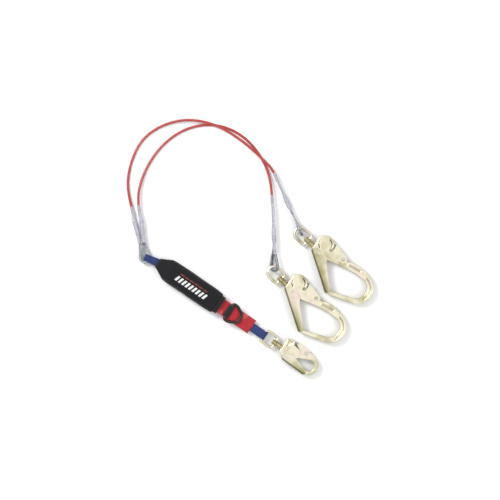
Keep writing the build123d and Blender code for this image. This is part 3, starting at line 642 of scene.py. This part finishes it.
# the red webbing carries lighter patches of painted highlight
RED_WEB = woven("red_webbing", (0.27, 0.008, 0.016), (0.45, 0.016, 0.028), (0.60, 0.06, 0.07), 260,
                painted_highlight=(0.66, 0.15, 0.14))
BLUE_WEB = woven("blue_webbing", (0.006, 0.012, 0.06), (0.018, 0.034, 0.145), (0.06, 0.10, 0.27), 260)
BLACK_WEB = woven("black_webbing", (0.004, 0.004, 0.005), (0.011, 0.011, 0.013), (0.03, 0.03, 0.034), 240)
COVER_CLOTH = woven("cover_cloth", (0.002, 0.002, 0.003), (0.0055, 0.0055, 0.0075), (0.015, 0.015, 0.020),
                    420, use_uv=False, turn=pack_turn, height=0.0002, sheen=0.08)
TEAR_WEB = woven("tear_webbing", (0.32, 0.30, 0.24), (0.50, 0.48, 0.40), (0.66, 0.63, 0.55), 240,
                 use_uv=False)
WHITE_INK = woven("white_ink", (0.60, 0.60, 0.60), (0.78, 0.78, 0.78), (0.86, 0.86, 0.86), 420, use_uv=False,
                  turn=pack_turn, sheen=0.0, height=0.00015)
RED_INK = woven("red_ink", (0.10, 0.02, 0.02), (0.20, 0.045, 0.04), (0.30, 0.09, 0.08), 420, use_uv=False,
                turn=pack_turn, sheen=0.0, height=0.00015)
RED_THREAD = woven("red_thread", (0.20, 0.006, 0.012), (0.36, 0.012, 0.022), (0.5, 0.05, 0.06), 900,
                   use_uv=False)
BLUE_THREAD = woven("blue_thread", (0.02, 0.03, 0.12), (0.05, 0.08, 0.26), (0.12, 0.17, 0.42), 900,
                    use_uv=False)
BLACK_THREAD = woven("black_thread", (0.008, 0.008, 0.01), (0.02, 0.02, 0.024), (0.045, 0.045, 0.05), 900,
                     use_uv=False)


def paint(piece, material):
    piece.data.materials.clear()
    piece.data.materials.append(material)


paint(cable_a, RED_COATING)
paint(cable_b, RED_COATING)
NODE_MATERIALS = (
    ("_gate_rivet", RIVET_ZINC), ("_lever_rivet", RIVET_ZINC), ("_stop_rivet", RIVET_ZINC),
    ("_spring", SPRING_STEEL), ("_swivel_barrel", OLIVE_ZINC), ("_swivel_stud", OLIVE_ZINC),
    ("_thimble", GALVANISED), ("_eye_rope", ROPE_STEEL), ("_ferrule", FERRULE), ("_clear_sleeve", CLEAR),
    ("d_ring", BLACK_STEEL), ("tear_web_pack", TEAR_WEB),
    *((prefix + tail, material) for prefix in HOOKS for tail, material in hook_zinc(prefix).items()),
)
EDGE_ROUNDING = {
    "_gate": 0.0006, "_lock_lever": 0.0006, "_thimble": 0.0003, "_ferrule": 0.0006,
}


def ending(name, choices):
    for tail, value in choices:
        if name.endswith(tail):
            return value
    return None


for name, node in nodes.items():
    material = ending(name, NODE_MATERIALS)
    if material:
        for index in range(max(1, len(node.data.materials))):
            if index < len(node.data.materials):
                node.data.materials[index] = material
            else:
                node.data.materials.append(material)
    rounding = ending(name, EDGE_ROUNDING.items())
    if rounding:
        edges = node.modifiers.new("rounded_edges", "BEVEL")
        edges.width = rounding
        edges.segments = 4
        edges.limit_method = "ANGLE"
        edges.angle_limit = math.radians(40)
        edges.harden_normals = True


# ---------------------------------------------------------------- forged hook bodies
def forged(prefix, voxel=0.0009, passes=7):
    """A copy of a hook's body with the rounded edges of a forging."""
    node = nodes[prefix + "_hook_body"]
    piece = bpy.data.objects.new(prefix + "_forging", node.data.copy())
    scene.collection.objects.link(piece)
    remesh = piece.modifiers.new("even", "REMESH")
    remesh.mode = "VOXEL"
    remesh.voxel_size = voxel
    remesh.use_smooth_shade = True
    soften = piece.modifiers.new("soften", "SMOOTH")
    soften.factor = 0.5
    soften.iterations = passes
    for modifier in ("even", "soften"):
        apply_modifier(piece, modifier)
    paint(piece, ending(node.name, NODE_MATERIALS))
    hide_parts(node.name)
    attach(piece, prefix + "_hook")
    return piece


for prefix in HOOKS:
    forged(prefix)

# ---------------------------------------------------------------- blue webbing at the legs
MM = 0.001


def mm_path(points, steps=6):
    return bspline([(s * MM, z * MM) for s, z in points], steps)


leg_path = mm_path([
    (9, 19.6), (-6, 19.5), (-20, 19.4), (-32, 19.4), (-40.5, 19.2), (-40.5, 10.5), (-40.5, 1.8), (-32, 1.6),
    (-22, 1.6), (-14, 5.5), (-6, 12.5), (9, 14.6),
])
LEG_WEB_WIDTH = 23.5 * MM
EYE_NARROWING = 4.5 * MM      # the webbing gathers where it turns through the eyes


def leg_web_width(share):
    return LEG_WEB_WIDTH - EYE_NARROWING * math.sin(math.pi * share)


leg_web = webbing("leg_webbing", on_leg_web, leg_path, leg_web_width, WEB_THICK, ripple=0.0004, seed=2.0)
paint(leg_web, BLUE_WEB)
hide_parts("leg_web_loop")
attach(leg_web, "root")

# ---------------------------------------------------------------- blue webbing at the snap hook
FOLD_AT = (Vector((fold_at.x, fold_at.y, 0)) - pack_start).dot(along) / MM
FOLD_Z = fold_at.z / MM
FOLD_RADIUS = 6.6
fold_points = [
    (FOLD_AT + FOLD_RADIUS * math.cos(math.radians(a)), FOLD_Z + FOLD_RADIUS * math.sin(math.radians(a)))
    for a in range(112, -113, -16)
]
hook_path = mm_path([
    (STRAP_END / MM - 3, FOLD_Z + 1.35), (FOLD_AT - 28, FOLD_Z + 1.4), (FOLD_AT - 19, FOLD_Z + 1.7),
    *fold_points, (FOLD_AT - 19, FOLD_Z - 1.7), (FOLD_AT - 28, FOLD_Z - 1.4),
    (STRAP_END / MM - 3, FOLD_Z - 1.35),
], 3)
hook_web = webbing("hook_webbing", on_pack, hook_path, BLUE_WIDTH, WEB_THICK, ripple=0.0002, seed=5.0)
paint(hook_web, BLUE_WEB)
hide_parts("hook_web_loop")
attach(hook_web, "root")

# ---------------------------------------------------------------- red strap, three sewn layers
STRAP_TOP_IN = 0.0220
STRAP_TOP_OUT = 0.0173
STRAP_LAYERS = 3
STRAP_START = 0.190      # inside the cover
STRAP_STEPS = 40
BOX_STITCH = (0.280, 0.306)
BOX_HALF = 0.017
EDGE_STITCH = 0.0185


def strap_top(s):
    share = min(1, max(0, (s - COLLAR_END) / (STRAP_END - COLLAR_END)))
    swell = 0.0007 * math.sin((s - RING_BAR_AT) / 0.0115) * (share > 0)
    swell *= min(1, 8 * share) * min(1, 8 * (1 - share))
    return STRAP_TOP_IN + (STRAP_TOP_OUT - STRAP_TOP_IN) * share + swell


red_pieces = []
for layer in range(STRAP_LAYERS):
    depth = WEB_THICK / 2 + layer * (WEB_THICK - 0.0001)
    stop = STRAP_END - 0.0015 * (layer == 1)
    places = [STRAP_START + (stop - STRAP_START) * k / STRAP_STEPS for k in range(STRAP_STEPS + 1)]
    path = [(s, strap_top(s) - depth) for s in places]
    red_pieces.append(webbing("red_layer", on_pack, path, STRAP_WIDTH - 0.0006 * layer, WEB_THICK,
                              ripple=0.00025, seed=layer * 3.0))
red_web = joined("red_webbing_strap", red_pieces)
paint(red_web, RED_WEB)
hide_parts("red_strap")
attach(red_web, "root")

sewing = []
s0, s1 = BOX_STITCH
box_and_diagonal = [
    (s0, -BOX_HALF), (s1, -BOX_HALF), (s1, BOX_HALF), (s0, BOX_HALF), (s0, -BOX_HALF), (s1, BOX_HALF),
]
other_diagonal = [(s0, BOX_HALF), (s1, -BOX_HALF)]
for chain in (box_and_diagonal, other_diagonal):
    points = [on_pack(s, side, strap_top(s) + 0.0002) for s, side in chain]
    sewing += stitch_row("strap_stitch", points, UP)
for side in (-EDGE_STITCH, EDGE_STITCH):
    for chain in ((0.209, 0.224), (0.246, 0.262, 0.279)):     # before and after the keeper
        points = [on_pack(s, side, strap_top(s) + 0.0001) for s in chain]
        sewing += stitch_row("strap_stitch", points, UP)
strap_sewing = joined("strap_sewing", sewing)
paint(strap_sewing, RED_THREAD)
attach(strap_sewing, "root")

blue_sewing = []
for s in (0.3135, 0.3175, 0.3215):
    points = [on_pack(s, side, FOLD_Z * MM + 0.0014 + WEB_THICK / 2) for side in (-0.010, 0.0, 0.010)]
    blue_sewing += stitch_row("blue_stitch", points, UP, pitch=0.0032)
blue_seam = joined("hook_web_sewing", blue_sewing)
paint(blue_seam, BLUE_THREAD)
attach(blue_seam, "root")

# ---------------------------------------------------------------- D-ring keeper
RING_WIRE_RADIUS = 0.004
KEEPER_RADIUS = RING_WIRE_RADIUS + 0.0005 + WEB_THICK / 2
bar_s = RING_BAR_AT
keeper_foot = strap_top(bar_s) + WEB_THICK / 2 + 0.0009
keeper_arch = [
    (bar_s + KEEPER_RADIUS * math.cos(math.radians(a)), ring_at.z + KEEPER_RADIUS * math.sin(math.radians(a)))
    for a in range(200, -21, -20)
]
keeper_path = bspline([
    (bar_s - 0.0088, keeper_foot + 0.0002), (bar_s - 0.0074, keeper_foot),
    (bar_s - 0.0060, keeper_foot + 0.0004),
    *keeper_arch,
    (bar_s + 0.0060, keeper_foot - 0.0002), (bar_s + 0.0074, keeper_foot - 0.0005),
    (bar_s + 0.0088, keeper_foot - 0.0006),
], 3)
KEEPER_WIDTH = 0.036
keeper = webbing("ring_keeper", on_pack, keeper_path, KEEPER_WIDTH, WEB_THICK, ripple=0.0002, seed=9.0)
paint(keeper, BLACK_WEB)
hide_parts("d_ring_keeper")
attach(keeper, "root")


# ---------------------------------------------------------------- cover
NECK_HALF = 0.0125
NECK_HALF_HEIGHT = 0.0095
COVER_HALF = 0.0304


def cover_half_width(s):
    rise = min(1, s / NECK_LENGTH)
    return NECK_HALF + (COVER_HALF - NECK_HALF) * rise ** 0.85


def cover_half_height(s):
    rise = min(1, s / NECK_LENGTH)
    return NECK_HALF_HEIGHT + (COVER_THICK / 2 - 0.0008 - NECK_HALF_HEIGHT) * rise


def soft_ring(s, wide, high, count, power):
    """A soft-cornered cross-section on the absorber's line; a higher power gives squarer corners."""
    ring = []
    for k in range(count):
        angle = 2 * math.pi * k / count
        c, t = math.cos(angle), math.sin(angle)
        x = math.copysign(abs(c) ** (2 / power), c) * wide
        y = math.copysign(abs(t) ** (2 / power), t) * high
        ring.append(on_pack(s, x, COVER_THICK / 2 + y))
    return ring


def cover_ring(s, grow=0.0):
    return soft_ring(s, cover_half_width(s) + grow, cover_half_height(s) + grow, 52, 6.0)


def build_cover():
    spots = [0.0, 0.004, 0.010, 0.018, 0.026, NECK_LENGTH]
    spots += [NECK_LENGTH + (COVER_END - NECK_LENGTH) * k / 34 for k in range(1, 35)]
    return loft("cover_cloth", [cover_ring(s) for s in spots])


def inflate(piece, cap, pressure=4.0, voxel=0.0042, frames=18):
    """Puffs a closed shape with cloth under pressure, and holds every point within cap of its start."""
    remesh = piece.modifiers.new("remesh", "REMESH")
    remesh.mode = "VOXEL"
    remesh.voxel_size = voxel
    remesh.use_smooth_shade = True
    bpy.context.view_layer.objects.active = piece
    bpy.ops.object.select_all(action="DESELECT")
    piece.select_set(True)
    bpy.ops.object.modifier_apply(modifier="remesh")
    rest = [v.co.copy() for v in piece.data.vertices]
    cloth = piece.modifiers.new("cloth", "CLOTH")
    settings = cloth.settings
    settings.use_pressure = True
    settings.uniform_pressure_force = pressure
    settings.mass = 0.4
    settings.tension_stiffness = 30
    settings.compression_stiffness = 30
    settings.bending_stiffness = 2
    settings.effector_weights.gravity = 0
    for number in range(1, frames + 1):
        scene.frame_set(number)
    depsgraph = bpy.context.evaluated_depsgraph_get()
    moved = [v.co.copy() for v in piece.evaluated_get(depsgraph).data.vertices]
    piece.modifiers.remove(cloth)
    scene.frame_set(1)
    for vertex, start, end in zip(piece.data.vertices, rest, moved):
        step = end - start
        if step.length > cap:
            step = step.normalized() * cap
        vertex.co = start + step
    piece.data.update()
    return piece


cover = inflate(build_cover(), cap=0.0032)


def crease(co):
    """Soft wrinkles: gathers at the neck and end, slack across the middle."""
    rel = co - pack_start
    s, side = rel.dot(along), rel.dot(across)
    near_end = max(0.0, 1 - abs(s - COVER_END) / 0.03) + max(0.0, 1 - abs(s - NECK_LENGTH) / 0.03)
    gathers = math.sin(side * 520 + 3 * noise.noise(Vector((s * 30, side * 20, 1.0)))) * near_end
    slack = noise.noise(Vector((s * 22, side * 55, co.z * 40)))
    fine = noise.noise(Vector((s * 90, side * 140, co.z * 90)))
    return 0.0004 * gathers + 0.0013 * slack + 0.0004 * fine


normals = [v.normal.copy() for v in cover.data.vertices]
for vertex, normal in zip(cover.data.vertices, normals):
    vertex.co += normal * crease(vertex.co)
    vertex.co.z = min(max(vertex.co.z, 0.0002), COVER_THICK + 0.001)
soft = cover.modifiers.new("soft", "SUBSURF")
soft.levels = 1
soft.render_levels = 1
apply_modifier(cover, "soft")
cover.data.polygons.foreach_set("use_smooth", [True] * len(cover.data.polygons))
paint(cover, COVER_CLOTH)
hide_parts("pack_cover")
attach(cover, "root")
cover_tree = BVHTree.FromPolygons(
    [v.co for v in cover.data.vertices], [p.vertices for p in cover.data.polygons]
)


def on_cover(s, side, lift=0.0003):
    """The point on the cover's top over a place on its line."""
    hit, normal, _, _ = cover_tree.ray_cast(on_pack(s, side, 0.2), -UP)
    return hit + normal * lift if hit else on_pack(s, side, COVER_THICK)


def patch(name, s0, s1, side0, side1, slant, material, steps=(14, 8)):
    """A printed block that follows the cover's cloth."""
    points, faces = [], []
    for i in range(steps[0] + 1):
        for k in range(steps[1] + 1):
            share = k / steps[1]
            s = s0 + (s1 - s0) * i / steps[0] + slant * share
            points.append(on_cover(s, side0 + (side1 - side0) * share))
    row = steps[1] + 1
    for i in range(steps[0]):
        for k in range(steps[1]):
            corner = i * row + k
            faces.append((corner, corner + row, corner + row + 1, corner + 1))
    piece = new_mesh(name, points, faces)
    body = piece.modifiers.new("ink", "SOLIDIFY")
    body.thickness = 0.0002
    apply_modifier(piece, "ink")
    paint(piece, material)
    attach(piece, "root")
    return piece


PRINT_START = 0.062
BARS = 9
BAR_PITCH = 0.0112
BAR_WIDTH = 0.0066
DASHES = 6
DASH_PITCH = 0.0150
DASH_WIDTH = 0.0125
for number in range(BARS):
    begin = PRINT_START + BAR_PITCH * number
    patch(f"print_bar_{number}", begin, begin + BAR_WIDTH, -0.0120, 0.0035, 0.005, WHITE_INK, (4, 8))
for number in range(DASHES):
    begin = PRINT_START + 0.006 + DASH_PITCH * number
    patch(f"print_dash_{number}", begin, begin + DASH_WIDTH, 0.0085, 0.0125, 0.0015, RED_INK, (6, 3))

# seams of the cover: a row of stitches along each long edge and one across its strap end
LONG_SEAM = 0.0245
END_SEAM = 0.190
seams = []
for side in (-LONG_SEAM, LONG_SEAM):
    points = [on_cover(0.034 + 0.158 * k / 40, side, 0.0002) for k in range(41)]
    seams += stitch_row("cover_stitch", points, UP)
points = [on_cover(END_SEAM, -0.024 + 0.048 * k / 12, 0.0002) for k in range(13)]
seams += stitch_row("cover_stitch", points, UP)
cover_seams = joined("cover_seams", seams)
paint(cover_seams, BLACK_THREAD)
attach(cover_seams, "root")

# hem round the neck, and the ribbed collar at the strap's end
HEM_PROFILE = (
    (-0.001, -0.0012), (-0.0018, 0.0), (-0.001, 0.0011), (0.002, 0.0013), (0.0045, 0.0008), (0.005, -0.0002),
)
hem_rings = []
for s, grow in HEM_PROFILE:
    hem_rings.append([p + along * min(s, 0) for p in cover_ring(max(s, 0), grow)])
neck_hem = loft("neck_hem", hem_rings, capped=False)
thick = neck_hem.modifiers.new("thick", "SOLIDIFY")
thick.thickness = 0.0008
apply_modifier(neck_hem, "thick")
paint(neck_hem, BLACK_WEB)
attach(neck_hem, "root")


def collar_ring(s, wide, high):
    return soft_ring(s, wide, high, 44, 4.0)


RIBS = 3
RIB_HEIGHT = 0.0011
COLLAR_TAPER = 0.0015
COLLAR_STEPS = 36
COLLAR_START = COVER_END - 0.002
collar_rings = [collar_ring(COLLAR_START, 0.018, 0.006)]
for k in range(COLLAR_STEPS + 1):
    s = COLLAR_START + (COLLAR_END - COLLAR_START) * k / COLLAR_STEPS
    grow = RIB_HEIGHT * abs(math.sin(math.pi * RIBS * k / COLLAR_STEPS)) - COLLAR_TAPER * k / COLLAR_STEPS
    collar_rings.append(collar_ring(s, 0.0262 + grow, 0.0137 + grow))
collar_rings.append(collar_ring(COLLAR_END + 0.0004, 0.0225, 0.0075))
collar = loft("collar_band", collar_rings)
paint(collar, BLACK_WEB)
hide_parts("cover_collar")
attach(collar, "root")


# ---------------------------------------------------------------- clear sleeves
FERRULE_HALF = 0.017


def sleeve(name, route_end, route_next, ferrule_node, node):
    """Shrink tube: over the cable's end, the rope pair, the ferrule and the pair again."""
    mouth, inner = Vector(route_end), Vector(route_next)
    run = (mouth - inner).normalized()
    low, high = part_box(ferrule_node)
    middle = (low + high) / 2
    reach = (middle - mouth).dot(run)
    offset = middle - (mouth + run * reach)
    sideways = offset.normalized()
    start_ferrule, end_ferrule = reach - FERRULE_HALF, reach + FERRULE_HALF
    # place on the run, share of the way over to the ferrule's line, half width, half height
    profile = [
        (-0.0205, 0.0, 0.0040, 0.0040), (-0.0200, 0.0, 0.0044, 0.0044), (-0.010, 0.0, 0.0045, 0.0045),
        (0.0, 0.05, 0.0047, 0.0047),
        (0.008, 0.6, 0.0050, 0.0040), (0.016, 1.0, 0.0058, 0.0035),
        (start_ferrule - 0.005, 1.0, 0.0058, 0.0035),
        (start_ferrule + 0.001, 1.0, 0.0062, 0.0061), (end_ferrule - 0.001, 1.0, 0.0062, 0.0061),
        (end_ferrule + 0.004, 1.0, 0.0058, 0.0036), (end_ferrule + 0.018, 1.0, 0.0060, 0.0034),
        (end_ferrule + 0.0255, 1.0, 0.0076, 0.0033), (end_ferrule + 0.0262, 1.0, 0.0072, 0.0029),
    ]
    rings = [
        tube_ring(mouth + run * t + offset * share, run, sideways, wide, tall, 24)
        for t, share, wide, tall in bspline(profile, 4)
    ]
    piece = loft(name, rings, capped=False)
    wall = piece.modifiers.new("wall", "SOLIDIFY")
    wall.thickness = 0.0004
    wall.offset = -1
    apply_modifier(piece, "wall")
    paint(piece, CLEAR)
    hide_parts(node)
    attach(piece, "root")
    return piece


sleeves = {
    "pack_a": sleeve("sleeve_pack_a", ROUTE_A[0], ROUTE_A[1], "pack_a_ferrule", "pack_a_clear_sleeve"),
    "pack_b": sleeve("sleeve_pack_b", ROUTE_B[0], ROUTE_B[1], "pack_b_ferrule", "pack_b_clear_sleeve"),
    "right_hook": sleeve("sleeve_right", ROUTE_A[-1], ROUTE_A[-2],
                         "right_hook_ferrule", "right_hook_clear_sleeve"),
    "left_hook": sleeve("sleeve_left", ROUTE_B[-1], ROUTE_B[-2],
                        "left_hook_ferrule", "left_hook_clear_sleeve"),
}


def fittings(*ends):
    found = []
    for end in ends:
        found += [sleeves[end], nodes[end + "_ferrule"], nodes[end + "_eye_rope"], nodes[end + "_thimble"]]
    return found


fittings("pack_a", "right_hook")
fittings("pack_b", "left_hook")

# ---------------------------------------------------------------- floor and light
FLOOR_HALF = 4
FLOOR_TOP = -0.0004
floor_corners = [
    (x * FLOOR_HALF, y * FLOOR_HALF, FLOOR_TOP) for x, y in ((-1, -1), (1, -1), (1, 1), (-1, 1))
]
floor = new_mesh("floor", floor_corners, [(0, 1, 2, 3)], smooth=False)
floor_material, floor_tree, floor_surface = shader("floor")
floor_coords = floor_tree.nodes.new("ShaderNodeTexCoord").outputs["Object"]
floor_colours = ramp(floor_tree, ((0.3, (0.90, 0.90, 0.90)), (0.7, (0.93, 0.93, 0.93))))
floor_tree.links.new(noise_node(floor_tree, floor_coords, 2.0), floor_colours.inputs[0])
floor_tree.links.new(floor_colours.outputs[0], floor_surface.inputs["Base Color"])
floor_surface.inputs["Roughness"].default_value = 0.9
floor_surface.inputs["Specular IOR Level"].default_value = 0.1
paint(floor, floor_material)

world = bpy.data.worlds.new("studio")
world.use_nodes = True
sky = world.node_tree
direction = sky.nodes.new("ShaderNodeTexCoord").outputs["Generated"]
height = sky.nodes.new("ShaderNodeSeparateXYZ")
sky.links.new(direction, height.inputs[0])
overhead = ramp(sky, ((0.50, (0.10, 0.10, 0.09)), (0.72, (0.42, 0.42, 0.42)), (0.92, (1, 1, 1))))
sky.links.new(ranged(sky, height.outputs[2], 0.5, 1.0), overhead.inputs[0])
sky.links.new(overhead.outputs[0], sky.nodes["Background"].inputs["Color"])
sky.nodes["Background"].inputs["Strength"].default_value = 1.1
scene.world = world


def lamp(name, place, size, power):
    data = bpy.data.lights.new(name, "AREA")
    data.shape = "DISK"
    data.size = size
    data.energy = power
    light = bpy.data.objects.new(name, data)
    light.location = place
    light.rotation_euler = (VIEW_CENTRE - Vector(place)).to_track_quat("-Z", "Y").to_euler()
    scene.collection.objects.link(light)


lamp("key", (-1.8, 1.6, 2.6), 1.2, 62)
lamp("fill", (2.2, -0.8, 2.4), 1.8, 26)
scene.view_settings.view_transform = "Standard"
